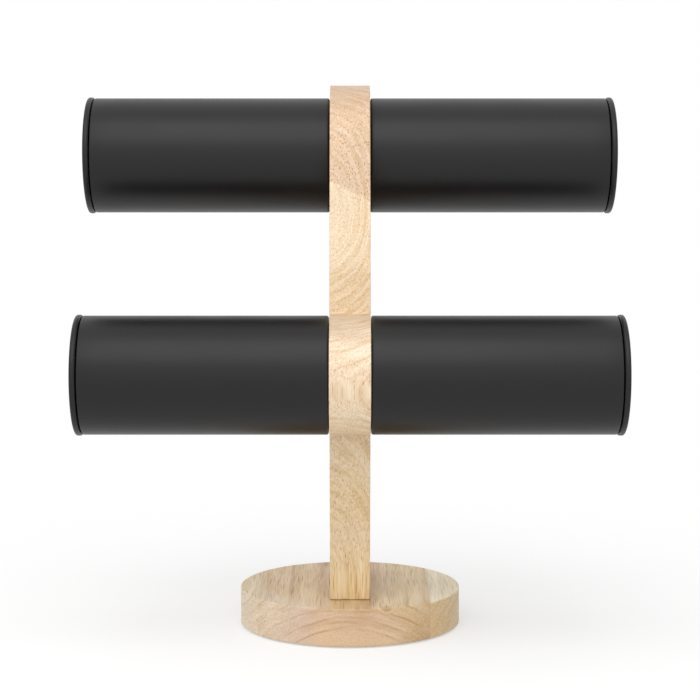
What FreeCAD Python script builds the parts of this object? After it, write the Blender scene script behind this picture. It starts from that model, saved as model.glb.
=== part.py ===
import FreeCAD, Part
import math
import os

# Two-tier bracelet display: a round wooden foot, an upright board cut to a bent outline, and
# four leatherette-covered rolls that push onto two wooden dowels through the board.
# Millimetres. The origin is the middle of the underside, +Z is up and -Y faces the customer.

Vector = FreeCAD.Vector

# The whole stand, from the surface that it rests on to the top of the board
overall_height = 304.4

# Foot: a disc of three edge-glued staves, with a non-slip pad let into its underside
base_diameter = 124.5
base_thickness = 20.9
base_edge_radius = 0.9
stave_joint_shares = (-0.82, 0.71)
pad_margin = 9.25
pad_thickness = 1.6
pad_proud = 0.8
pad_edge_radius = 0.4
pad_side_clearance = 0.3

# Upright board: leans forward from the foot to the lower tier, then back to the upper tier
board_thickness = 22.0
board_edge_radius = 0.5
foot_front = 40.0
foot_depth = 80.0
tier_rise = 116.3
tier_step = 63.5
crown_radius = 38.8
nose_radius = 32.0
nose_top_setback = 1.5
nose_under_setback = 5.0
nose_corner_radius = 2.5
elbow_radius = 110.0

# Screws from below that hold the board on the foot
screw_diameter = 4.5
screw_length = 50.0
screw_head_diameter = 8.8
screw_head_sink = 0.4
screw_point_length = 5.0
screw_tip_diameter = 0.8
screw_spacing = 40.0
pilot_spare_depth = 2.0

# Dowels through the board that carry the rolls
dowel_diameter = 12.0
dowel_engagement = 52.0
dowel_chamfer = 1.2

# Rolls: a paperboard tube in a leatherette cover, closed by fibreboard discs
roll_diameter = 63.5
roll_length = 131.1
cover_thickness = 0.9
cover_edge_radius = 1.7
cover_tuck = 12.0
tube_wall = 2.5
inner_plug_thickness = 12.0
outer_plug_thickness = 9.0
plug_recess = 0.5
support_disc_thickness = 9.0
support_disc_setback = 38.0

# End caps: a greyboard disc wrapped in leatherette, glued on the outer end of each roll
cap_diameter = 64.5
cap_thickness = 3.2
cap_edge_radius = 1.4
cap_turn_in = 9.0

# Clearances shared by the pieces that fit each other
glue_line = 0.05
running_clearance = 0.05
roll_gap = 0.3
cut_overrun = 2.0

# Places worked out from the sizes above
base_radius = base_diameter / 2
base_top = pad_proud + base_thickness
pad_radius = base_radius - pad_margin
pad_ceiling = pad_thickness + glue_line
foot_rear = foot_depth - foot_front
upper_axis = Vector(0, 0, overall_height - crown_radius)
lower_axis = Vector(0, -tier_step, upper_axis.z - tier_rise)
dowel_radius = dowel_diameter / 2
bore_radius = dowel_radius + running_clearance
roll_start = board_thickness / 2 + roll_gap
roll_end = roll_start + roll_length
roll_radius = roll_diameter / 2
skin_radius = roll_radius - cover_thickness
tube_outer_radius = skin_radius - glue_line
tube_inner_radius = tube_outer_radius - tube_wall
tuck_outer_radius = tube_inner_radius - glue_line
tuck_inner_radius = tuck_outer_radius - cover_thickness
plug_radius = tuck_inner_radius - glue_line
cap_start = roll_end + glue_line
cap_end = cap_start + cap_thickness
cap_radius = cap_diameter / 2

os.makedirs("parts", exist_ok=True)


def export(name, shape):
    shape.exportStep("parts/" + name + ".step")


def line(start, end):
    return Part.LineSegment(start, end).toShape()


def arc(start, middle, end):
    return Part.Arc(start, middle, end).toShape()


def in_profile(angle):
    """Unit vector in the board's plane, the angle counted from +Y towards +Z."""
    return Vector(0, math.cos(angle), math.sin(angle))


def front_of(direction):
    """The forward normal of an upward edge in the board's plane."""
    return Vector(0, -direction.z, direction.y)


def tangent_direction(start, centre, radius):
    """Direction from a point along the tangent that passes in front of a circle."""
    reach = centre - start
    return in_profile(math.atan2(reach.z, reach.y) + math.asin(radius / reach.Length))


def nose_corner(start, direction, upper):
    """Arc that rounds the hollow corner between a straight front edge and the nose."""
    front = front_of(direction)
    offset_start = start + front * nose_corner_radius
    to_nose = lower_axis - offset_start
    along = to_nose.dot(direction)
    aside = to_nose.dot(front)
    half_chord = math.sqrt((nose_radius + nose_corner_radius) ** 2 - aside ** 2)
    reach = along + half_chord if upper else along - half_chord
    centre = offset_start + direction * reach
    on_edge = start + direction * reach
    outward = (centre - lower_axis).normalize()
    on_nose = lower_axis + outward * nose_radius
    towards_corner = (on_edge + on_nose - centre * 2).normalize()
    middle = centre + towards_corner * nose_corner_radius
    return on_edge, middle, on_nose


def board_outline():
    """Side outline of the board: foot, lower front edge, nose, upper front edge, crown, rear."""
    foot_front_corner = Vector(0, -foot_front, base_top)
    foot_rear_corner = Vector(0, foot_rear, base_top)
    under_drop = math.sqrt(nose_radius ** 2 - nose_under_setback ** 2)
    nose_under = lower_axis + Vector(0, nose_under_setback, -under_drop)
    top_rise = math.sqrt(nose_radius ** 2 - nose_top_setback ** 2)
    nose_top = lower_axis + Vector(0, nose_top_setback, top_rise)
    lower_run = (nose_under - foot_front_corner).normalize()
    upper_run = tangent_direction(nose_top, upper_axis, crown_radius)

    under_edge, under_middle, under_nose = nose_corner(foot_front_corner, lower_run, False)
    top_edge, top_middle, top_nose = nose_corner(nose_top, upper_run, True)
    under_arm = under_nose - lower_axis
    top_arm = top_nose - lower_axis
    under_angle = math.atan2(under_arm.z, under_arm.y) + 2 * math.pi
    top_angle = math.atan2(top_arm.z, top_arm.y)
    nose_front = lower_axis + in_profile((under_angle + top_angle) / 2) * nose_radius

    crown_front = upper_axis + front_of(upper_run) * crown_radius
    crown_rear = upper_axis - front_of(upper_run) * crown_radius
    crown_top = upper_axis + upper_run * crown_radius

    turn = upper_run.getAngle(lower_run)
    rear_offset = foot_rear_corner - crown_rear
    to_elbow = rear_offset.dot(front_of(lower_run)) / upper_run.dot(front_of(lower_run))
    elbow = crown_rear + upper_run * to_elbow
    tangent_length = elbow_radius * math.tan(turn / 2)
    behind = (upper_run - lower_run).normalize()
    elbow_upper = elbow + upper_run * tangent_length
    elbow_lower = elbow - lower_run * tangent_length
    elbow_centre = elbow + behind * (elbow_radius / math.cos(turn / 2))
    elbow_middle = elbow_centre - behind * elbow_radius

    return Part.Wire([
        line(foot_front_corner, under_edge),
        arc(under_edge, under_middle, under_nose),
        arc(under_nose, nose_front, top_nose),
        arc(top_nose, top_middle, top_edge),
        line(top_edge, crown_front),
        arc(crown_front, crown_top, crown_rear),
        line(crown_rear, elbow_upper),
        arc(elbow_upper, elbow_middle, elbow_lower),
        line(elbow_lower, foot_rear_corner),
        line(foot_rear_corner, foot_front_corner),
    ])


def across(radius, length, axis, start):
    """Cylinder along +X about a tier's axis."""
    return Part.makeCylinder(radius, length, Vector(start, axis.y, axis.z), Vector(1, 0, 0))


def screw_places():
    foot_middle = (foot_rear - foot_front) / 2
    return [Vector(0, foot_middle + side * screw_spacing / 2, 0) for side in (-1, 1)]


def screw_solid(place, clearance):
    """Countersunk wood screw pointing up, or with a clearance the hole that takes it."""
    head_radius = screw_head_diameter / 2
    shank_radius = screw_diameter / 2
    head_height = head_radius - shank_radius
    head_floor = pad_ceiling + screw_head_sink
    shank_start = head_floor + head_height
    point_start = head_floor + screw_length - screw_point_length
    head = Part.makeCone(head_radius + clearance, shank_radius + clearance, head_height,
                         place + Vector(0, 0, head_floor))
    shank = Part.makeCylinder(shank_radius + clearance, point_start - shank_start,
                              place + Vector(0, 0, shank_start))
    if clearance:
        mouth = Part.makeCylinder(head_radius + clearance, head_floor,
                                  place)
        pilot = Part.makeCylinder(shank_radius + clearance, screw_point_length + pilot_spare_depth,
                                  place + Vector(0, 0, point_start))
        return mouth.fuse([head, shank, pilot])
    point = Part.makeCone(shank_radius, screw_tip_diameter / 2, screw_point_length,
                          place + Vector(0, 0, point_start))
    return head.fuse([shank, point]).removeSplitter()


def upright_board(screw_holes):
    outline = Part.Face(board_outline())
    outline.translate(Vector(-board_thickness / 2, 0, 0))
    board = outline.extrude(Vector(board_thickness, 0, 0))
    eased = []
    for edge in board.Edges:
        box = edge.BoundBox
        on_side = box.XLength < glue_line
        on_foot = box.ZMax - base_top < glue_line
        if on_side or on_foot:
            eased.append(edge)
    board = board.makeFillet(board_edge_radius, eased)
    bore_length = board_thickness + 2 * cut_overrun
    for axis in (lower_axis, upper_axis):
        board = board.cut(across(bore_radius, bore_length, axis, -bore_length / 2))
    return board.cut(screw_holes)


def foot_disc(screw_holes):
    """The turned disc before it is told apart into its staves."""
    disc = Part.makeCylinder(base_radius, base_thickness, Vector(0, 0, pad_proud))
    rims = [edge for edge in disc.Edges if edge.BoundBox.ZLength < glue_line]
    disc = disc.makeFillet(base_edge_radius, rims)
    recess_radius = pad_radius + pad_side_clearance
    recess = Part.makeCylinder(recess_radius, pad_ceiling)
    return disc.cut(recess.fuse(screw_holes))


def foot_staves(disc):
    """Left, centre and right stave, a glue line apart."""
    reach = base_radius + cut_overrun
    left_joint = stave_joint_shares[0] * base_radius
    right_joint = stave_joint_shares[1] * base_radius
    half_glue = glue_line / 2
    spans = {
        "base_stave_left": (-reach, left_joint - half_glue),
        "base_stave_centre": (left_joint + half_glue, right_joint - half_glue),
        "base_stave_right": (right_joint + half_glue, reach),
    }
    height = base_top + cut_overrun
    staves = {}
    for name, (low, high) in spans.items():
        block = Part.makeBox(high - low, 2 * reach, height, Vector(low, -reach, 0))
        staves[name] = disc.common(block)
    return staves


def non_slip_pad():
    pad = Part.makeCylinder(pad_radius, pad_thickness)
    lower_rim = [edge for edge in pad.Edges if edge.BoundBox.ZMax < glue_line]
    return pad.makeFillet(pad_edge_radius, lower_rim)


def dowel(axis):
    half_length = roll_start + dowel_engagement
    rod = across(dowel_radius, 2 * half_length, axis, -half_length)
    ends = [edge for edge in rod.Edges if edge.BoundBox.XLength < glue_line]
    return rod.makeChamfer(dowel_chamfer, ends)


def section(x, radius):
    """A point of a turned section: x along the roll, radius out from its axis."""
    return Vector(x, 0, radius)


def rounded_corner(before, corner, after, radius):
    """Ends and middle of the arc that rounds a square corner of a turned section."""
    back = (before - corner).normalize()
    ahead = (after - corner).normalize()
    centre = corner + (back + ahead) * radius
    middle = centre - (back + ahead).normalize() * radius
    return corner + back * radius, middle, corner + ahead * radius


def turned(corners, rounded, radius):
    """Solid of revolution about +X from a closed section, with the named corners rounded."""
    edges = []
    count = len(corners)
    leaves = []
    arrives = []
    for index, corner in enumerate(corners):
        if index in rounded:
            before = corners[index - 1]
            after = corners[(index + 1) % count]
            start, middle, end = rounded_corner(before, corner, after, radius)
            edges.append(arc(start, middle, end))
            arrives.append(start)
            leaves.append(end)
        else:
            arrives.append(corner)
            leaves.append(corner)
    for index in range(count):
        edges.append(line(leaves[index], arrives[(index + 1) % count]))
    outline = Part.Wire(Part.__sortEdges__(edges))
    return Part.Face(outline).revolve(Vector(0, 0, 0), Vector(1, 0, 0), 360)


def roll_cover():
    """Leatherette skin, folded over both ends of the tube and tucked into its bore."""
    inner_tuck_end = roll_start + cover_tuck
    outer_tuck_end = roll_end - cover_tuck
    corners = [
        section(roll_start, roll_radius),
        section(roll_end, roll_radius),
        section(roll_end, tuck_inner_radius),
        section(outer_tuck_end, tuck_inner_radius),
        section(outer_tuck_end, tuck_outer_radius),
        section(roll_end - cover_thickness, tuck_outer_radius),
        section(roll_end - cover_thickness, skin_radius),
        section(roll_start + cover_thickness, skin_radius),
        section(roll_start + cover_thickness, tuck_outer_radius),
        section(inner_tuck_end, tuck_outer_radius),
        section(inner_tuck_end, tuck_inner_radius),
        section(roll_start, tuck_inner_radius),
    ]
    return turned(corners, (0, 1), cover_edge_radius)


def disc_piece(radius, start, thickness, bore):
    """Disc or ring square to the roll's axis; a zero bore leaves it whole."""
    piece = Part.makeCylinder(radius, thickness, Vector(start, 0, 0), Vector(1, 0, 0))
    if bore:
        hole_length = thickness + 2 * cut_overrun
        hole_start = start - cut_overrun
        hole = Part.makeCylinder(bore, hole_length, Vector(hole_start, 0, 0), Vector(1, 0, 0))
        piece = piece.cut(hole)
    return piece


def cap_cover():
    """Leatherette wrapped over the cap's disc, its edge turned in behind."""
    turn_in_radius = cap_radius - cap_turn_in
    board_radius = cap_radius - cover_thickness
    corners = [
        section(cap_end, 0),
        section(cap_end, cap_radius),
        section(cap_start, cap_radius),
        section(cap_start, turn_in_radius),
        section(cap_start + cover_thickness, turn_in_radius),
        section(cap_start + cover_thickness, board_radius),
        section(cap_end - cover_thickness, board_radius),
        section(cap_end - cover_thickness, 0),
    ]
    return turned(corners, (1, 2), cap_edge_radius)


def roll_pieces():
    """One roll's pieces along +X about its own axis, from the board outwards."""
    tube_start = roll_start + cover_thickness + glue_line
    tube_length = roll_length - 2 * (cover_thickness + glue_line)
    support_start = roll_start + support_disc_setback
    support_radius = tube_inner_radius - glue_line
    outer_plug_start = roll_end - plug_recess - outer_plug_thickness
    cap_board_start = cap_start + cover_thickness + glue_line
    cap_board_thickness = cap_thickness - 2 * (cover_thickness + glue_line)
    cap_board_radius = cap_radius - cover_thickness - glue_line
    return {
        "cover": roll_cover(),
        "tube": disc_piece(tube_outer_radius, tube_start, tube_length, tube_inner_radius),
        "inner_plug": disc_piece(plug_radius, roll_start + plug_recess,
                                 inner_plug_thickness, bore_radius),
        "support_disc": disc_piece(support_radius, support_start,
                                   support_disc_thickness, bore_radius),
        "outer_plug": disc_piece(plug_radius, outer_plug_start, outer_plug_thickness, 0),
        "cap_board": disc_piece(cap_board_radius, cap_board_start, cap_board_thickness, 0),
        "cap_cover": cap_cover(),
    }


screws = [screw_solid(place, 0) for place in screw_places()]
holes = [screw_solid(place, running_clearance) for place in screw_places()]
screw_holes = holes[0].fuse(holes[1:])

for stave_name, stave in foot_staves(foot_disc(screw_holes)).items():
    export(stave_name, stave)
export("base_pad", non_slip_pad())
export("post", upright_board(screw_holes))
export("post_screws", Part.makeCompound(screws))

tiers = {"upper": upper_axis, "lower": lower_axis}
for tier, axis in tiers.items():
    export(tier + "_dowel", dowel(axis))
    for piece_name, piece in roll_pieces().items():
        right = piece.copy()
        left = piece.mirror(Vector(0, 0, 0), Vector(1, 0, 0))
        for side, shape in (("left", left), ("right", right)):
            shape.translate(axis)
            export(tier + "_" + side + "_" + piece_name, shape)
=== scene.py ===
import math

import bmesh
import bpy
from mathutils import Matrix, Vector


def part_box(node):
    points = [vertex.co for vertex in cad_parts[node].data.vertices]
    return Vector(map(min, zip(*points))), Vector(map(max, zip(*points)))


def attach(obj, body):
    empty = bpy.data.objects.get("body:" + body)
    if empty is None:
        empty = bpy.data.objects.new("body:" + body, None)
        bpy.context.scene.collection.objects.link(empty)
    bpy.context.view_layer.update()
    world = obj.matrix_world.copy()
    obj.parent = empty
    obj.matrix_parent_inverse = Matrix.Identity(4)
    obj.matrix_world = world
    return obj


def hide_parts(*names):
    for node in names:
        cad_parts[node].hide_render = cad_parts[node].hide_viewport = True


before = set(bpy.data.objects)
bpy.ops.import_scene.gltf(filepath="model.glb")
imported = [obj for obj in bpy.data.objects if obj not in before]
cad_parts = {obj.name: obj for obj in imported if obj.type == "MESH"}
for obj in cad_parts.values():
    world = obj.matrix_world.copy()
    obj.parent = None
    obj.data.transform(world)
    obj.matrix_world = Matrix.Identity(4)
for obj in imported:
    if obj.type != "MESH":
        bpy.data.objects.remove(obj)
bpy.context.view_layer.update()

# Two-tier bracelet display. Metres, +Z up, -Y towards the customer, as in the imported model.

# Round foot: a disc of three edge-glued staves of rubberwood, sanded and clear-lacquered.
# The grain runs from front to back, so the top shows long streaks and the front of the rim
# shows the arches of the growth rings. The narrow outer staves come from paler boards.
MM = 0.001


def linear(code):
    """Linear colour of an sRGB hex value such as #F0E0C0."""
    parts = [int(code[place:place + 2], 16) / 255 for place in (1, 3, 5)]
    parts = [v / 12.92 if v <= 0.04045 else ((v + 0.055) / 1.055) ** 2.4 for v in parts]
    return (*parts, 1.0)


def add(tree, kind, inputs=(), **settings):
    """Adds a node. Settings are its own properties; inputs are values, or nodes to link."""
    made = tree.nodes.new("ShaderNode" + kind)
    for key, value in settings.items():
        setattr(made, key, value)
    for key, value in dict(inputs).items():
        if isinstance(value, bpy.types.Node):
            value = value.outputs[0]
        if isinstance(value, bpy.types.NodeSocket):
            tree.links.new(value, made.inputs[key])
        else:
            made.inputs[key].default_value = value
    return made


def new_material(name):
    """A material without any nodes yet, and its node tree."""
    material = bpy.data.materials.new(name)
    material.use_nodes = True
    material.node_tree.nodes.clear()
    return material, material.node_tree


def rubberwood(name, pith, lean, pale, tan, late, pore, ring=5.2, heart=(4.0, 14.0),
               heart_line=0.0, stains_and_painted_light=(), knot=None, swerves=(), end_tone="#F1EBF0",
               pore_spacing=0.6, pore_length=32.0, streaks=0.7, bold=0.0):
    """Satin-lacquered rubberwood: growth rings about the log's pith, short open pores along it.

    Places are in metres, other lengths in millimetres. The pith is a point of the log's middle
    line, and lean is how far that line leans from upright about X. Pale and tan are the tones of
    the bands, late and pore those of the late-wood lines and the pores. Ring is the rings'
    spacing. Heart gives the radii between which the plain heart turns into ringed wood, and
    heart_line the width of a dark line round it. A stain is a place, the direction in which it
    deepens, its width, its tone and its strength. A knot is a place, its radius in metres and
    how far it bends the rings. A swerve is the far end and the start of a stretch along the log,
    from the pith's point on, and how far the grain has drifted back at the far end. End tone is
    how much the thirsty end grain darkens. Streaks is the strength of the broad figure, and bold
    is how much more the pores show in the first stain.
    Some stains are no stains but painted shade and painted highlights, put into the colour.
    The eye sees soft cream and tan bands, thin late-wood lines and fine brown dashes.
    """
    wander, wander_length, wander_stretch = 5.0, 45.0, 7.0
    ripple, ripple_length, ripple_stretch = 1.3, 5.5, 9.0
    fibre_width, fibre_length = 0.8, 20.0
    streak_width, streak_span, streak_length = 1.4, 16.0, 45.0
    mottle_width, mottle_length = 26.0, 65.0
    late_season = (0.72, 0.98)
    late_share = 0.45
    knot_stretch = 1.5
    knot_eye = (0.6, 0.3)
    knot_share = 0.4
    end_grain = (0.65, 1.0)
    pore_edge = (0.40, 0.14)
    pore_share = (0.8, 0.5)
    fibre_share = (0.7, 0.45)
    heart_streaks = 0.3
    figure_swing = 0.2
    figure_light = (0.88, 1.09)
    figure_depth = (1.16, 0.84)
    mottle_light = (0.95, 1.04)
    gloss = (0.38, 0.58)
    pore_depth = 0.06

    # The log's own space in millimetres: Z runs along the pith.
    material, tree = new_material(name)
    place = add(tree, "TexCoord").outputs["Object"]
    log = add(tree, "Mapping", {"Vector": place, "Location": pith, "Rotation": (lean, 0, 0),
                                "Scale": (MM, MM, MM)}, vector_type="TEXTURE")
    for far_end, start, drift in swerves:
        length = add(tree, "SeparateXYZ", {"Vector": log}).outputs["Z"]
        drifted = add(tree, "MapRange", {"Value": length, "From Min": far_end, "From Max": start,
                                         "To Min": drift, "To Max": 0.0},
                      interpolation_type="SMOOTHSTEP")
        log = add(tree, "VectorMath", {0: log, 1: add(tree, "CombineXYZ", {"Y": drifted})},
                  operation="ADD")

    # Growth rings: the distance from the pith, with slow and quick waves.
    slow = add(tree, "VectorMath", {0: log, 1: (wander_length, wander_length,
                                                wander_length * wander_stretch)},
               operation="DIVIDE")
    waves = add(tree, "TexNoise", {"Vector": slow, "Scale": 1.0, "Detail": 3.0})
    across = add(tree, "VectorMath", {0: log, 1: (1, 1, 0)}, operation="MULTIPLY")
    radius = add(tree, "VectorMath", {0: across}, operation="LENGTH").outputs["Value"]
    rings = add(tree, "Math", {0: waves, 1: wander, 2: radius}, operation="MULTIPLY_ADD")
    quick = add(tree, "VectorMath", {0: log, 1: (ripple_length, ripple_length,
                                                 ripple_length * ripple_stretch)},
                operation="DIVIDE")
    ripples = add(tree, "TexNoise", {"Vector": quick, "Scale": 1.0, "Detail": 2.0})
    rings = add(tree, "Math", {0: ripples, 1: ripple, 2: rings}, operation="MULTIPLY_ADD")
    if knot:
        knot_place, knot_radius, knot_rise = knot
        knot_size = (knot_radius, knot_radius * knot_stretch, knot_radius)
        offset = add(tree, "Mapping", {"Vector": place, "Location": knot_place,
                                       "Scale": knot_size}, vector_type="TEXTURE")
        reach = add(tree, "VectorMath", {0: offset}, operation="LENGTH").outputs["Value"]
        swirl = add(tree, "MapRange", {"Value": reach, "From Min": 1.0, "From Max": 0.0,
                                       "To Max": knot_rise}, interpolation_type="SMOOTHSTEP")
        rings = add(tree, "Math", {0: rings, 1: swirl}, operation="ADD")
    year = add(tree, "Math", {0: rings, 1: ring}, operation="DIVIDE")

    # Pale and tan bands that break up along the log, and the thin dark line of the late wood.
    band = add(tree, "TexNoise", {"W": year, "Scale": 1.0, "Detail": 3.0, "Roughness": 0.6},
               noise_dimensions="1D")
    band = add(tree, "MapRange", {"Value": band, "From Min": 0.3, "From Max": 0.7},
               interpolation_type="SMOOTHSTEP")
    grown = add(tree, "MapRange", {"Value": radius, "From Min": heart[0], "From Max": heart[1]})
    band = add(tree, "Math", {0: band, 1: grown}, operation="MULTIPLY")
    break_up = add(tree, "TexNoise", {"Vector": slow, "Scale": 4.0, "Detail": 2.0})
    break_up = add(tree, "MapRange", {"Value": break_up, "From Min": 0.35, "From Max": 0.65,
                                      "To Min": 0.25, "To Max": 0.95})
    band = add(tree, "Math", {0: band, 1: break_up}, operation="MULTIPLY")
    season = add(tree, "Math", {0: year}, operation="FRACT")
    edge = add(tree, "MapRange", {"Value": season, "From Min": late_season[0],
                                  "From Max": late_season[1]}, interpolation_type="SMOOTHSTEP")
    patch = add(tree, "TexNoise", {"Vector": slow, "Scale": 2.6, "Detail": 1.0})
    patch = add(tree, "MapRange", {"Value": patch, "From Min": 0.4, "From Max": 0.65})
    late_line = add(tree, "Math", {0: edge, 1: patch}, operation="MULTIPLY")
    late_line = add(tree, "Math", {0: late_line, 1: grown}, operation="MULTIPLY")
    if heart_line:
        wavy = add(tree, "Math", {0: ripples, 1: ripple, 2: radius}, operation="MULTIPLY_ADD")
        from_heart = add(tree, "Math", {0: wavy, 1: heart[1]}, operation="SUBTRACT")
        from_heart = add(tree, "Math", {0: from_heart}, operation="ABSOLUTE")
        rim = add(tree, "MapRange", {"Value": from_heart, "From Min": heart_line,
                                     "From Max": 0.0})
        rim = add(tree, "Math", {0: rim, 1: patch}, operation="MULTIPLY")
        late_line = add(tree, "Math", {0: late_line, 1: rim}, operation="MAXIMUM")

    # Pores, fibres and streaks along the log. Real pores are finer; these just show.
    pore_place = add(tree, "VectorMath", {0: log, 1: (pore_spacing, pore_spacing, pore_length)},
                     operation="DIVIDE")
    pores = add(tree, "TexVoronoi", {"Vector": pore_place, "Scale": 1.0}, feature="F1")
    dash = add(tree, "MapRange", {"Value": pores, "From Min": pore_edge[0],
                                  "From Max": pore_edge[1]}, interpolation_type="SMOOTHSTEP")
    filling = add(tree, "SeparateXYZ", {"Vector": pores.outputs["Color"]}).outputs["X"]
    dash = add(tree, "Math", {0: dash, 1: filling}, operation="MULTIPLY")
    fibre_place = add(tree, "VectorMath", {0: log, 1: (fibre_width, fibre_width, fibre_length)},
                      operation="DIVIDE")
    fibre = add(tree, "TexNoise", {"Vector": fibre_place, "Scale": 1.0, "Detail": 2.0})
    spread = add(tree, "SeparateXYZ", {"Vector": log})
    streak_place = add(tree, "CombineXYZ", {"X": rings, "Y": spread.outputs["X"],
                                            "Z": spread.outputs["Z"]})
    streak_place = add(tree, "VectorMath", {0: streak_place, 1: (streak_width, streak_span,
                                                                 streak_length)},
                       operation="DIVIDE")
    streak = add(tree, "TexNoise", {"Vector": streak_place, "Scale": 1.0, "Detail": 3.0,
                                    "Roughness": 0.6})
    mottle_place = add(tree, "VectorMath", {0: log, 1: (mottle_width, mottle_width,
                                                        mottle_length)}, operation="DIVIDE")
    mottle = add(tree, "TexNoise", {"Vector": mottle_place, "Scale": 1.0, "Detail": 2.0})

    # End grain: where the surface faces along the log.
    grain = (0, -math.sin(lean), math.cos(lean))
    facing = add(tree, "VectorMath", {0: add(tree, "TexCoord").outputs["Normal"], 1: grain},
                 operation="DOT_PRODUCT").outputs["Value"]
    facing = add(tree, "Math", {0: facing}, operation="ABSOLUTE")
    thirst = add(tree, "MapRange", {"Value": facing, "From Min": end_grain[0],
                                    "From Max": end_grain[1]}, interpolation_type="SMOOTHSTEP")

    # Colour: the bands, then stains, painted shade and painted highlights, late lines, knot and
    # pores, then light and dark figure.
    tone = add(tree, "MixRGB", {"Fac": band, "Color1": linear(pale), "Color2": linear(tan)})
    stain_and_light_masks = []
    # Each entry mixes its tone in past a plane; some are stains in the wood, others painted
    # shade and painted highlights.
    for stain_and_light_place, deepens, width, stain_and_light_tone, amount in stains_and_painted_light:
        offset = add(tree, "VectorMath", {0: place, 1: stain_and_light_place}, operation="SUBTRACT")
        depth = add(tree, "VectorMath", {0: offset, 1: deepens}, operation="DOT_PRODUCT")
        ragged = 2 * min(ripple, width) * MM
        depth = add(tree, "Math", {0: ripples, 1: ragged, 2: depth.outputs["Value"]},
                    operation="MULTIPLY_ADD")
        stain_and_light_mask = add(tree, "MapRange", {"Value": depth, "From Max": width * MM,
                                        "To Max": amount}, interpolation_type="SMOOTHSTEP")
        stain_and_light_masks.append(stain_and_light_mask)
        tone = add(tree, "MixRGB", {"Fac": stain_and_light_mask, "Color1": tone, "Color2": linear(stain_and_light_tone)})
    line_share = add(tree, "Math", {0: late_line, 1: late_share}, operation="MULTIPLY")
    tone = add(tree, "MixRGB", {"Fac": line_share, "Color1": tone, "Color2": linear(late)})
    if knot:
        eye = add(tree, "MapRange", {"Value": reach, "From Min": knot_eye[0],
                                     "From Max": knot_eye[1], "To Max": knot_share},
                  interpolation_type="SMOOTHSTEP")
        tone = add(tree, "MixRGB", {"Fac": eye, "Color1": tone, "Color2": linear(late)})
    dash_share = add(tree, "MapRange", {"Value": thirst, "To Min": pore_share[0],
                                        "To Max": pore_share[1]})
    if bold:
        boldness = add(tree, "Math", {0: stain_and_light_masks[0], 1: bold, 2: 1.0}, operation="MULTIPLY_ADD")
        dash_share = add(tree, "Math", {0: dash_share, 1: boldness}, operation="MULTIPLY")
    dash_share = add(tree, "Math", {0: dash, 1: dash_share}, operation="MULTIPLY",
                     use_clamp=True)
    tone = add(tree, "MixRGB", {"Fac": dash_share, "Color1": tone, "Color2": linear(pore)})
    fine = add(tree, "MapRange", {"Value": thirst, "To Min": fibre_share[0],
                                  "To Max": fibre_share[1]})
    broad = add(tree, "MapRange", {"Value": grown, "To Min": heart_streaks * streaks,
                                   "To Max": streaks})
    streak = add(tree, "Math", {0: streak, 1: 0.5}, operation="SUBTRACT")
    streak = add(tree, "Math", {0: streak, 1: broad}, operation="MULTIPLY")
    fibre_rise = add(tree, "Math", {0: fibre, 1: 0.5}, operation="SUBTRACT")
    figure = add(tree, "Math", {0: fibre_rise, 1: fine, 2: streak}, operation="MULTIPLY_ADD")
    figure_value = add(tree, "MapRange", {"Value": figure, "From Min": -figure_swing,
                                          "From Max": figure_swing, "To Min": figure_light[0],
                                          "To Max": figure_light[1]})
    saturation = add(tree, "MapRange", {"Value": figure, "From Min": -figure_swing,
                                        "From Max": figure_swing, "To Min": figure_depth[0],
                                        "To Max": figure_depth[1]})
    mottle_value = add(tree, "MapRange", {"Value": mottle, "From Min": 0.3, "From Max": 0.7,
                                          "To Min": mottle_light[0], "To Max": mottle_light[1]})
    value = add(tree, "Math", {0: figure_value, 1: mottle_value}, operation="MULTIPLY")
    tone = add(tree, "HueSaturation", {"Color": tone, "Value": value, "Saturation": saturation})
    tone = add(tree, "MixRGB", {"Fac": thirst, "Color1": tone, "Color2": linear(end_tone)},
               blend_type="MULTIPLY")

    # Lacquer: satin on the wood, duller where it sinks into the pores.
    roughness = add(tree, "MapRange", {"Value": dash, "To Min": gloss[0], "To Max": gloss[1]})
    relief = add(tree, "Math", {0: dash, 1: -1.0, 2: fibre}, operation="MULTIPLY_ADD")
    bump = add(tree, "Bump", {"Height": relief, "Strength": 0.2, "Distance": pore_depth * MM})
    shader = add(tree, "BsdfPrincipled", {"Base Color": tone, "Roughness": roughness,
                                           "Normal": bump, "IOR": 1.4})
    add(tree, "OutputMaterial", {"Surface": shader})
    return material


def dress(node, material):
    """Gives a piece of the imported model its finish."""
    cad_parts[node].material_slots[0].material = material


front_to_back = math.radians(90)
down = (0, 0, -1)
centre_stains = [
    ((0.008, 0, 0), (1, 0, 0), 30.0, "#F8DEAD", 0.6),
    ((0.028, -0.050, 0.012), (0.80, -0.55, -0.25), 16.0, "#C6A175", 0.7),
    ((-0.022, -0.045, 0.016), (-0.80, -0.55, 0.20), 14.0, "#EBD6BC", 0.75),
]
foot_knot = ((0.0195, -0.0578, 0.0222), 0.0055, 8.0)
centre_wood = rubberwood("rubberwood_centre_stave", (-0.001, 0, -0.038), front_to_back,
                         "#EBCFA3", "#D2AD80", "#BD8656", "#86592F", ring=6.5,
                         heart=(48.0, 49.6), heart_line=0.8, stains_and_painted_light=centre_stains,
                         knot=foot_knot, end_tone="#EEE8F0")
left_stains = [((-0.058, 0, 0.0208), down, 2.0, "#E8D3C0", 0.55)]
left_wood = rubberwood("rubberwood_left_stave", (-0.105, 0, 0.060), front_to_back,
                       "#F0DDB6", "#E6CCA1", "#D1AB7C", "#8E673B", stains_and_painted_light=left_stains,
                       end_tone="#EDE2E6")
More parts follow.
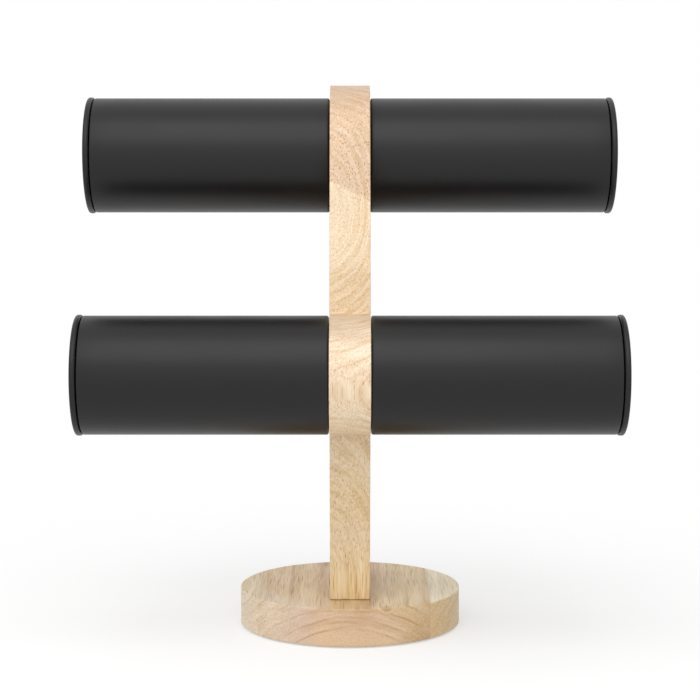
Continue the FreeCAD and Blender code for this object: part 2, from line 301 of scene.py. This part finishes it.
# Painted shade: the right stave's outer wall, below its top edge, is mixed with a darker tan,
# the side turned away from the light.
right_wall_painted_shade = [((0.058, 0, 0.0208), down, 2.0, "#D8B582", 0.8)]
right_wood = rubberwood("rubberwood_right_stave", (0.120, 0, -0.045), front_to_back,
                        "#FFF5D6", "#FFEDC6", "#DDB88A", "#B38C60", stains_and_painted_light=right_wall_painted_shade)
dress("base_stave_centre", centre_wood)
dress("base_stave_left", left_wood)
dress("base_stave_right", right_wood)

# Non-slip pad: a die-cut disc of black foam sheet, let into the underside of the foot and
# glued there. It stands a little proud, so that only the pad touches the shelf.
PAD_EDGE = 0.4 * MM
PAD_STEPS = 128


def eased(before, corner, after, radius, steps=6):
    """Points that round one square corner of a turned section."""
    back = (before - corner).normalized()
    ahead = (after - corner).normalized()
    centre = corner + (back + ahead) * radius
    turns = [math.pi / 2 * step / steps for step in range(steps + 1)]
    return [centre - ahead * radius * math.cos(turn) - back * radius * math.sin(turn)
            for turn in turns]


def section(corners, radii):
    """A closed turned section of (along, radius) corners, some of them rounded."""
    corners = [Vector(corner) for corner in corners]
    points = []
    for index, corner in enumerate(corners):
        if index in radii:
            after = corners[(index + 1) % len(corners)]
            points += eased(corners[index - 1], corner, after, radii[index])
        else:
            points.append(corner)
    return points


def all_round(steps):
    """Even angles once round an axis."""
    return [math.tau * step / steps for step in range(steps)]


def turned(name, outline, angles, point, material, crease=40):
    """A closed skin swept round an axis; point(along, radius, angle) places each corner."""
    shell = bmesh.new()
    rings = [[shell.verts.new(point(along, radius, angle)) for along, radius in outline]
             for angle in angles]
    count = len(outline)
    for ring, following in zip(rings, rings[1:] + rings[:1]):
        for near in range(count):
            far = (near + 1) % count
            if outline[near][1] > 0 or outline[far][1] > 0:
                shell.faces.new((ring[near], ring[far], following[far], following[near]))
    bmesh.ops.remove_doubles(shell, verts=shell.verts, dist=0.001 * MM)
    bmesh.ops.recalc_face_normals(shell, faces=shell.faces)
    mesh = bpy.data.meshes.new(name)
    shell.to_mesh(mesh)
    shell.free()
    mesh.shade_smooth()
    mesh.set_sharp_from_angle(angle=math.radians(crease))
    mesh.materials.append(material)
    made = bpy.data.objects.new(name, mesh)
    bpy.context.scene.collection.objects.link(made)
    return made


def foam_rubber():
    """Closed-cell foam sheet: a matt black skin, pitted by cells too fine to see from afar."""
    cell = 0.9
    cell_depth = 0.15
    material, tree = new_material("foam_rubber")
    place = add(tree, "TexCoord").outputs["Object"]
    cells = add(tree, "TexVoronoi", {"Vector": place, "Scale": 1 / (cell * MM)})
    tone = add(tree, "MixRGB", {"Fac": cells, "Color1": linear("#1B1B1C"),
                                "Color2": linear("#2E2E2F")})
    bump = add(tree, "Bump", {"Height": cells, "Strength": 0.5, "Distance": cell_depth * MM})
    shader = add(tree, "BsdfPrincipled", {"Base Color": tone, "Normal": bump, "Roughness": 0.85})
    add(tree, "OutputMaterial", {"Surface": shader})
    return material


def pad_point(height, radius, angle):
    """Places a point of the pad, which lies flat round the foot's middle."""
    return Vector((radius * math.cos(angle), radius * math.sin(angle), height))


pad_low, pad_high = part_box("base_pad")
pad_radius = pad_high.x
pad_section = section([(pad_low.z, 0), (pad_low.z, pad_radius), (pad_high.z, pad_radius),
                       (pad_high.z, 0)], {1: PAD_EDGE})
pad = turned("non_slip_pad", pad_section, all_round(PAD_STEPS), pad_point, foam_rubber())
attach(pad, "stand")
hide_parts("base_pad")

# Upright board: one rubberwood plank, sawn to its bent outline, edges eased and lacquered.
# The grain follows the lower leg and swerves a little, so the curved front edge cuts through the
# growth rings: flames at the nose, slanting streaks and open pores above and below it.
GLUE_AND_SHADE_LINE = 0.3 * MM
board_pith = (-0.0145, -0.049, 0.234)
board_lean = math.radians(14.5)
behind = (0, math.cos(board_lean), math.sin(board_lean))
ahead = tuple(-part for part in behind)
crown_slant = (0.25, behind[1], behind[2])
board_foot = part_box("post")[0].z
# Tones on the board, each mixed in past a plane: the wood's own, painted shade and painted
# highlights.
board_tones_and_painted_light = [
    ((0, -0.0447, 0.2478), crown_slant, 1.8, "#D5B597", 0.7),
    # Painted shade: darker over the front from the middle of the upper run down.
    ((0, -0.0545, 0.2100), ahead, 7.0, "#DEBE95", 0.52),
    # Painted highlight of the lacquer's sheen: paler and pinker from the crease above the nose
    # down, palest on the nose's front.
    ((0, -0.0620, 0.1830), ahead, 10.0, "#F0DABF", 0.5),
    ((0, -0.0780, 0.1500), ahead, 14.0, "#FFE8CE", 0.45),
    ((0, -0.040, 0.165), down, 45.0, "#EBCF90", 0.18),
    # Painted shade: darker below the lower tier, where the nose and the rolls shade the board.
    ((0, -0.040, 0.108), down, 24.0, "#DBBF92", 0.35),
    ((0, -0.040, 0.062), down, 34.0, "#F2D7A2", 0.5),
    # A dark line round the board's foot: partly glue in the joint, partly painted contact shadow
    # where the board stands on the foot.
    ((0, 0, board_foot + GLUE_AND_SHADE_LINE), down, 0.5, "#6B5230", 0.8),
]
board_swerves = [(-202.0, -70.0, 41.0), (-58.0, 4.0, -11.0)]
board_wood = rubberwood("rubberwood_board", board_pith, board_lean,
                        "#EDD6B6", "#E7C69A", "#D3A670", "#B0835D", heart=(8.0, 24.0),
                        stains_and_painted_light=board_tones_and_painted_light, swerves=board_swerves, end_tone="#F0EFF1",
                        pore_spacing=0.8, pore_length=24.0, streaks=1.0, bold=1.6)
dress("post", board_wood)

# Two countersunk wood screws, driven from under the foot up into the board before the pad goes
# on. Zinc-plated steel: pale grey with a faint cloudy bloom.


def zinc_plate():
    """Zinc-plated steel: a soft cloudy grey shine."""
    bloom = 2.5
    material, tree = new_material("zinc_plated_steel")
    place = add(tree, "TexCoord").outputs["Object"]
    cloud = add(tree, "TexNoise", {"Vector": place, "Scale": 1 / (bloom * MM), "Detail": 4.0})
    tone = add(tree, "MixRGB", {"Fac": cloud, "Color1": linear("#B9B7AF"),
                                "Color2": linear("#D8D6D0")})
    gloss = add(tree, "MapRange", {"Value": cloud, "To Min": 0.28, "To Max": 0.48})
    shader = add(tree, "BsdfPrincipled", {"Base Color": tone, "Roughness": gloss,
                                           "Metallic": 1.0})
    add(tree, "OutputMaterial", {"Surface": shader})
    return material


dress("post_screws", zinc_plate())

# Dowels: two turned beech rods, one through the board at each tier. The rolls push onto their
# ends, and each rod turns in its bore with the rolls of its tier.
TIERS = ("upper", "lower")


def raw_beech():
    """Sanded raw beech: pinkish tan with short brown flecks along the rod."""
    fleck_width, fleck_length = 0.7, 5.0
    streak_width, streak_length = 1.6, 60.0
    streak_depth = 0.08
    material, tree = new_material("raw_beech")
    place = add(tree, "TexCoord").outputs["Object"]
    streak_size = (streak_length * MM, streak_width * MM, streak_width * MM)
    streak_place = add(tree, "Mapping", {"Vector": place, "Scale": streak_size},
                       vector_type="TEXTURE")
    streak = add(tree, "TexNoise", {"Vector": streak_place, "Scale": 1.0, "Detail": 3.0})
    fleck_size = (fleck_length * MM, fleck_width * MM, fleck_width * MM)
    fleck_place = add(tree, "Mapping", {"Vector": place, "Scale": fleck_size},
                      vector_type="TEXTURE")
    fleck = add(tree, "TexVoronoi", {"Vector": fleck_place, "Scale": 1.0})
    fleck = add(tree, "MapRange", {"Value": fleck, "From Min": 0.3, "From Max": 0.12,
                                   "To Max": 0.6})
    tone = add(tree, "MixRGB", {"Fac": streak, "Color1": linear("#DDBB92"),
                                "Color2": linear("#C79F74")})
    tone = add(tree, "MixRGB", {"Fac": fleck, "Color1": tone, "Color2": linear("#9A704A")})
    bump = add(tree, "Bump", {"Height": streak, "Strength": 0.3, "Distance": streak_depth * MM})
    shader = add(tree, "BsdfPrincipled", {"Base Color": tone, "Normal": bump, "Roughness": 0.66})
    add(tree, "OutputMaterial", {"Surface": shader})
    return material


beech = raw_beech()
for tier in TIERS:
    dress(tier + "_dowel", beech)

# Roll cores: a wound paperboard tube on each side of each tier, closed by fibreboard discs. The
# disc at the board and a second one inside are bored for the dowel; the outer one is whole.
OUTWARD = {"left": -1, "right": 1}


def wound_paperboard(name, axis):
    """Spiral-wound kraft board: matt brown paper with a dark seam that climbs round the tube."""
    ply_width = 38.0
    seam_width = 0.5
    fleck = 1.2
    fleck_depth = 0.1
    material, tree = new_material(name)
    place = add(tree, "TexCoord").outputs["Object"]
    local = add(tree, "Mapping", {"Vector": place, "Location": axis, "Scale": (MM, MM, MM)},
                vector_type="TEXTURE")
    parts = add(tree, "SeparateXYZ", {"Vector": local})
    turn = add(tree, "Math", {0: parts.outputs["Y"], 1: parts.outputs["Z"]}, operation="ARCTAN2")
    climb = add(tree, "Math", {0: turn, 1: ply_width / math.tau, 2: parts.outputs["X"]},
                operation="MULTIPLY_ADD")
    wrap = add(tree, "Math", {0: climb, 1: ply_width}, operation="FLOORED_MODULO")
    seam = add(tree, "MapRange", {"Value": wrap, "From Min": seam_width, "From Max": 0.0})
    speck = add(tree, "TexNoise", {"Vector": local, "Scale": 1 / fleck, "Detail": 4.0})
    tone = add(tree, "MixRGB", {"Fac": speck, "Color1": linear("#9C7E5B"),
                                "Color2": linear("#B99A73")})
    tone = add(tree, "MixRGB", {"Fac": seam, "Color1": tone, "Color2": linear("#5E4A33")})
    bump = add(tree, "Bump", {"Height": speck, "Strength": 0.25, "Distance": fleck_depth * MM})
    shader = add(tree, "BsdfPrincipled", {"Base Color": tone, "Normal": bump, "Roughness": 0.8})
    add(tree, "OutputMaterial", {"Surface": shader})
    return material


def fibreboard():
    """Raw medium-density fibreboard: an even matt brown of felted wood dust."""
    fibre = 0.8
    fibre_depth = 0.12
    cloud = 14.0
    material, tree = new_material("fibreboard")
    place = add(tree, "TexCoord").outputs["Object"]
    felt = add(tree, "TexNoise", {"Vector": place, "Scale": 1 / (fibre * MM), "Detail": 5.0})
    drift = add(tree, "TexNoise", {"Vector": place, "Scale": 1 / (cloud * MM), "Detail": 2.0})
    blend = add(tree, "Math", {0: felt, 1: 0.7, 2: drift}, operation="MULTIPLY_ADD")
    shade = add(tree, "MapRange", {"Value": blend, "From Min": 0.6, "From Max": 1.1})
    tone = add(tree, "MixRGB", {"Fac": shade, "Color1": linear("#9B7A55"),
                                "Color2": linear("#BE9B72")})
    bump = add(tree, "Bump", {"Height": felt, "Strength": 0.4, "Distance": fibre_depth * MM})
    shader = add(tree, "BsdfPrincipled", {"Base Color": tone, "Normal": bump, "Roughness": 0.85})
    add(tree, "OutputMaterial", {"Surface": shader})
    return material


disc_board = fibreboard()
for tier in TIERS:
    low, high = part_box(tier + "_dowel")
    tier_axis = (0, (low.y + high.y) / 2, (low.z + high.z) / 2)
    tube_board = wound_paperboard("wound_paperboard_" + tier, tier_axis)
    for side in OUTWARD:
        dress(f"{tier}_{side}_tube", tube_board)
        for disc in ("inner_plug", "support_disc", "outer_plug"):
            dress(f"{tier}_{side}_{disc}", disc_board)

# Roll covers: satin black leatherette glued round each tube, lapped at the back, its ends folded
# over the tube's rims with small gathers and tucked into the bore. A thin black gap is left at
# the cap.
COVER_THICKNESS = 0.9 * MM
COVER_EDGE = 1.2 * MM
COVER_OUTER_EDGE = 0.6 * MM
CAP_GAP = 0.45 * MM
COVER_TUCK = 12.0 * MM
TUBE_WALL = 2.5 * MM
GLUE_GAP = 0.1 * MM
FOLD_EDGE = 0.45 * MM
ROLL_STEPS = 180
LAP_TURN = math.radians(-18)
LAP_EDGE = 0.45 * MM
LAP_EDGE_STEPS = 4
LAP_WIDTH = 13.0 * MM
LAP_HEIGHT = 0.35 * MM
GATHERS = 46
GATHER_DEPTH = 0.14 * MM
RUN_STEPS = 14


def satin_leatherette():
    """Polyurethane leatherette with a fine pebble grain: deep black with a broad soft sheen."""
    pebble = 0.8
    pebble_depth = 0.1
    cloud = 30.0
    material, tree = new_material("satin_leatherette")
    place = add(tree, "TexCoord").outputs["Object"]
    # The real pebbles are about half as wide; these are as fine as a close view can show.
    grain = add(tree, "TexVoronoi", {"Vector": place, "Scale": 1 / (pebble * MM)},
                feature="SMOOTH_F1")
    drift = add(tree, "TexNoise", {"Vector": place, "Scale": 1 / (cloud * MM), "Detail": 2.0})
    tone = add(tree, "MixRGB", {"Fac": drift, "Color1": linear("#100E0E"),
                                "Color2": linear("#151212")})
    gloss = add(tree, "MapRange", {"Value": drift, "From Min": 0.3, "From Max": 0.7,
                                   "To Min": 0.38, "To Max": 0.42})
    bump = add(tree, "Bump", {"Height": grain, "Strength": 0.12, "Distance": pebble_depth * MM})
    shader = add(tree, "BsdfPrincipled", {"Base Color": tone, "Roughness": gloss,
                                           "Normal": bump, "IOR": 1.42})
    add(tree, "OutputMaterial", {"Surface": shader})
    return material


def smooth(share):
    """Eases a share between nothing and all of it."""
    share = min(1, max(0, share))
    return share * share * (3 - 2 * share)


def divided(points, first, steps):
    """The same section with points put in along the straight run that starts at one of them."""
    start, end = points[first], points[first + 1]
    run = [start.lerp(end, step / steps) for step in range(1, steps)]
    return points[:first + 1] + run + points[first + 1:]


def round_piece(node, outward):
    """Axis, radius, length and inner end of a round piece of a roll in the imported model."""
    low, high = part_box(node)
    axis = ((low.y + high.y) / 2, (low.z + high.z) / 2)
    inner_end = low.x if outward > 0 else high.x
    return axis, (high.z - low.z) / 2, high.x - low.x, inner_end


def lapped_turns(lap_edge_turn):
    """Angles round a roll from front to front, closer together at the edge of the lap."""
    fine_turns = [LAP_TURN + lap_edge_turn * step / LAP_EDGE_STEPS
                  for step in range(-LAP_EDGE_STEPS, 1)]
    clear = math.tau / ROLL_STEPS / 2
    even_turns = [turn - math.pi for turn in all_round(ROLL_STEPS)]
    even_turns = [turn for turn in even_turns
                  if not LAP_TURN - lap_edge_turn - clear < turn < LAP_TURN + clear]
    return sorted(fine_turns + even_turns)


def roll_cover(tier, side, material):
    """The skin of one roll: a thin closed shell with its folds, lap and gathers."""
    outward = OUTWARD[side]
    axis, radius_out, length, board_end = round_piece(f"{tier}_{side}_cover", outward)
    length -= CAP_GAP
    skin = radius_out - COVER_THICKNESS
    tuck_outer = skin - TUBE_WALL - GLUE_GAP
    tuck_inner = tuck_outer - COVER_THICKNESS
    inside = length - COVER_THICKNESS
    fold = length - COVER_TUCK
    cover_section = section([
        (0, radius_out), (length, radius_out), (length, tuck_inner), (fold, tuck_inner),
        (fold, tuck_outer), (inside, tuck_outer), (inside, skin), (COVER_THICKNESS, skin),
        (COVER_THICKNESS, tuck_outer), (COVER_TUCK, tuck_outer), (COVER_TUCK, tuck_inner),
        (0, tuck_inner),
    ], {0: COVER_EDGE, 1: COVER_OUTER_EDGE, 2: FOLD_EDGE, 11: FOLD_EDGE})
    # The outer run starts at the last of the first rounded corner's seven points.
    cover_section = divided(cover_section, 6, RUN_STEPS)
    lap_edge_turn = LAP_EDGE / radius_out
    lap_turn_width = LAP_WIDTH / radius_out

    def cover_point(along, radius, turn):
        """Places a point of the cover, with the lap's step and the gathers at the board."""
        past_edge = (turn - LAP_TURN) / lap_turn_width
        rise = smooth((turn - LAP_TURN) / lap_edge_turn + 1)
        lap = LAP_HEIGHT * rise * (1 - smooth(past_edge))
        outer = smooth((radius - skin) / COVER_THICKNESS)
        inward = smooth((radius_out - COVER_EDGE - radius) / (TUBE_WALL - COVER_THICKNESS))
        at_board = 1 if along < COVER_THICKNESS / 2 else 0
        uneven = 2 * math.sin(3 * turn)
        pucker = GATHER_DEPTH * (0.5 + 0.5 * math.cos(GATHERS * turn + uneven))
        reach = radius + lap * outer
        shift = along + pucker * inward * at_board
        return Vector((board_end + outward * shift, axis[0] + reach * math.cos(turn),
                       axis[1] + reach * math.sin(turn)))

    return turned(f"{tier}_{side}_leatherette", cover_section, lapped_turns(lap_edge_turn),
                  cover_point, material)


leatherette = satin_leatherette()
for tier in TIERS:
    for side in OUTWARD:
        cover = roll_cover(tier, side, leatherette)
        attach(cover, f"{tier}_{side}_roll")
        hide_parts(f"{tier}_{side}_cover")

# End caps: a greyboard disc wrapped in the same leatherette and glued over the outer end of each
# roll. It is a little wider than the roll, so its rounded edge leaves a dark groove.
CAP_EDGE = 1.1 * MM
CAP_TURN_IN = 9.0 * MM
CAP_CROWN = 0.25 * MM
CAP_RINGS = 8
CAP_SLACK = 0.3 * MM


def greyboard():
    """Recycled greyboard: matt grey with paler and darker paper flecks."""
    fleck = 1.0
    fleck_depth = 0.1
    material, tree = new_material("greyboard")
    place = add(tree, "TexCoord").outputs["Object"]
    speck = add(tree, "TexNoise", {"Vector": place, "Scale": 1 / (fleck * MM), "Detail": 5.0})
    shade = add(tree, "MapRange", {"Value": speck, "From Min": 0.3, "From Max": 0.7})
    tone = add(tree, "MixRGB", {"Fac": shade, "Color1": linear("#8B8780"),
                                "Color2": linear("#A9A59D")})
    bump = add(tree, "Bump", {"Height": speck, "Strength": 0.3, "Distance": fleck_depth * MM})
    shader = add(tree, "BsdfPrincipled", {"Base Color": tone, "Normal": bump, "Roughness": 0.9})
    add(tree, "OutputMaterial", {"Surface": shader})
    return material


def cap_skin(tier, side, material):
    """The leatherette of one cap: a crowned face, a rounded rim and a turned-in edge behind."""
    outward = OUTWARD[side]
    axis, radius_out, thickness, roll_end = round_piece(f"{tier}_{side}_cap_cover", outward)
    board_radius = radius_out - COVER_THICKNESS
    turn_in = radius_out - CAP_TURN_IN
    board_face = thickness - COVER_THICKNESS
    cap_section = section([
        (thickness, 0), (thickness, radius_out), (0, radius_out), (0, turn_in),
        (COVER_THICKNESS, turn_in), (COVER_THICKNESS, board_radius),
        (board_face, board_radius), (board_face, 0),
    ], {1: CAP_EDGE, 2: CAP_EDGE})
    cap_section = divided(cap_section, 0, CAP_RINGS)
    # Each cap's folds start elsewhere round it.
    own_turn = 40 * axis[1] * outward

    def cap_point(along, radius, turn):
        """Places a point of the cap, its fold pulled tighter here and there."""
        face = 1 if along > thickness - CAP_EDGE / 2 else 0
        crown = CAP_CROWN * face * (1 - (radius / radius_out) ** 2)
        pull = 0.5 + 0.25 * math.sin(5 * turn + own_turn) + 0.25 * math.sin(13 * turn)
        rim = smooth((radius - radius_out + CAP_EDGE) / CAP_EDGE)
        slack = CAP_SLACK * pull * rim * (1 - smooth(along / thickness))
        shift = along + crown + slack
        return Vector((roll_end + outward * shift, axis[0] + radius * math.cos(turn),
                       axis[1] + radius * math.sin(turn)))

    return turned(f"{tier}_{side}_cap_leatherette", cap_section, all_round(ROLL_STEPS),
                  cap_point, material)


cap_board = greyboard()
for tier in TIERS:
    for side in OUTWARD:
        dress(f"{tier}_{side}_cap_board", cap_board)
        cap = cap_skin(tier, side, leatherette)
        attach(cap, f"{tier}_{side}_roll")
        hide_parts(f"{tier}_{side}_cap_cover")

# Studio: a plain white sweep to stand on, a broad soft box above and in front, a low reflector
# card behind the camera, and even white walls all round. The floor shows as white paper and
# keeps the stand's soft shadow.
FLOOR_HALF = 2.5
FLOOR_FADE = (0.12, 0.45)
FLOOR_DROP = 0.05 * MM
PAPER_GLOW = 0.47
WALL_LIGHT = (0.20, 1.17)
WALL_RISE, WALL_TURN = math.radians(18), math.radians(-33)
KEY_RISE, KEY_TURN = math.radians(53), math.radians(-4)
KEY_DISTANCE = 1.15
KEY_SIZE = (0.8, 0.95)
KEY_POWER = 4.1
CARD_RISE, CARD_TURN = math.radians(13), 0.0
CARD_DISTANCE = 1.25
CARD_SIZE = (0.9, 0.6)
CARD_POWER = 0.5
LIT_POINT = Vector((0, -0.03, 0.17))
WHITE = (1, 1, 1, 1)


def seen_directly(tree):
    """One for rays that the eye follows straight, in a mirror or through glass, else zero."""
    path = add(tree, "LightPath")
    share = add(tree, "Math", {0: path.outputs["Is Camera Ray"],
                               1: path.outputs["Is Glossy Ray"]}, operation="MAXIMUM")
    return add(tree, "Math", {0: share, 1: path.outputs["Is Transmission Ray"]},
               operation="MAXIMUM")


def heading(rise, turn):
    """The direction that points so far up and so far round from the customer's side."""
    return Vector((math.sin(turn) * math.cos(rise), -math.cos(turn) * math.cos(rise),
                   math.sin(rise)))


def soft_lamp(name, towards, distance, size, power):
    """A broad flat lamp in one direction from the stand, facing it."""
    data = bpy.data.lights.new(name, "AREA")
    data.shape = "RECTANGLE"
    data.size, data.size_y = size
    data.energy = power
    lamp = bpy.data.objects.new(name, data)
    lamp.location = LIT_POINT + towards * distance
    lamp.rotation_euler = towards.to_track_quat("Z", "Y").to_euler()
    bpy.context.scene.collection.objects.link(lamp)
    return lamp


floor_shape = bmesh.new()
corners = [floor_shape.verts.new((x * FLOOR_HALF, y * FLOOR_HALF, -FLOOR_DROP))
           for x, y in ((-1, -1), (1, -1), (1, 1), (-1, 1))]
floor_shape.faces.new(corners)
floor_mesh = bpy.data.meshes.new("floor")
floor_shape.to_mesh(floor_mesh)
floor_shape.free()
floor = bpy.data.objects.new("floor", floor_mesh)
bpy.context.scene.collection.objects.link(floor)

# White paper: matt, a little shaded under the stand, plain white further off.
paper, tree = new_material("white_paper")
place = add(tree, "TexCoord").outputs["Object"]
reach = add(tree, "VectorMath", {0: place}, operation="LENGTH").outputs["Value"]
fade = add(tree, "MapRange", {"Value": reach, "From Min": FLOOR_FADE[0],
                              "From Max": FLOOR_FADE[1]}, interpolation_type="SMOOTHSTEP")
matt = add(tree, "BsdfDiffuse", {"Color": linear("#C9C9C9")})
glow = add(tree, "Emission", {"Color": WHITE, "Strength": PAPER_GLOW})
lit_paper = add(tree, "AddShader", {0: matt, 1: glow})
plain_white = add(tree, "Emission", {"Color": WHITE, "Strength": 1.0})
shown = add(tree, "MixShader", {0: fade, 1: lit_paper, 2: plain_white})
bounce = add(tree, "BsdfDiffuse", {"Color": linear("#E6E6E6")})
surface = add(tree, "MixShader", {0: seen_directly(tree), 1: bounce, 2: shown})
add(tree, "OutputMaterial", {"Surface": surface})
floor_mesh.materials.append(paper)

world = bpy.data.worlds.new("white_walls")
bpy.context.scene.world = world
world.use_nodes = True
tree = world.node_tree
tree.nodes.clear()
wall = add(tree, "Background", {"Color": WHITE, "Strength": 1.0})
towards_wall = add(tree, "VectorMath", {0: add(tree, "TexCoord").outputs["Generated"],
                                        1: heading(WALL_RISE, WALL_TURN)},
                   operation="DOT_PRODUCT").outputs["Value"]
strength = add(tree, "MapRange", {"Value": towards_wall, "From Min": -1.0,
                                  "To Min": WALL_LIGHT[0], "To Max": WALL_LIGHT[1]})
wall_light = add(tree, "Background", {"Color": WHITE, "Strength": strength})
surface = add(tree, "MixShader", {0: seen_directly(tree), 1: wall_light, 2: wall})
add(tree, "OutputWorld", {"Surface": surface})

soft_lamp("soft_box", heading(KEY_RISE, KEY_TURN), KEY_DISTANCE, KEY_SIZE, KEY_POWER)
card = soft_lamp("reflector_card", heading(CARD_RISE, CARD_TURN), CARD_DISTANCE, CARD_SIZE,
                 CARD_POWER)
card.visible_camera = False

# Camera: straight in front of the stand, a little above its middle, looking slightly down. Its
# place and lens were fitted to the photograph's 700 by 700 frame.
IMAGE_SIDE = 700
FOCAL_PIXELS = 1957
SENSOR = 36.0
CAMERA_PLACE = (0, -1.100, 0.2686)
CAMERA_DROP = 5.83
camera_data = bpy.data.cameras.new("camera")
camera_data.sensor_width = SENSOR
camera_data.lens = SENSOR * FOCAL_PIXELS / IMAGE_SIDE
camera = bpy.data.objects.new("camera", camera_data)
camera.location = CAMERA_PLACE
camera.rotation_euler = (math.radians(90 - CAMERA_DROP), 0, 0)
bpy.context.scene.collection.objects.link(camera)
bpy.context.scene.camera = camera
bpy.context.scene.view_settings.view_transform = "Standard"
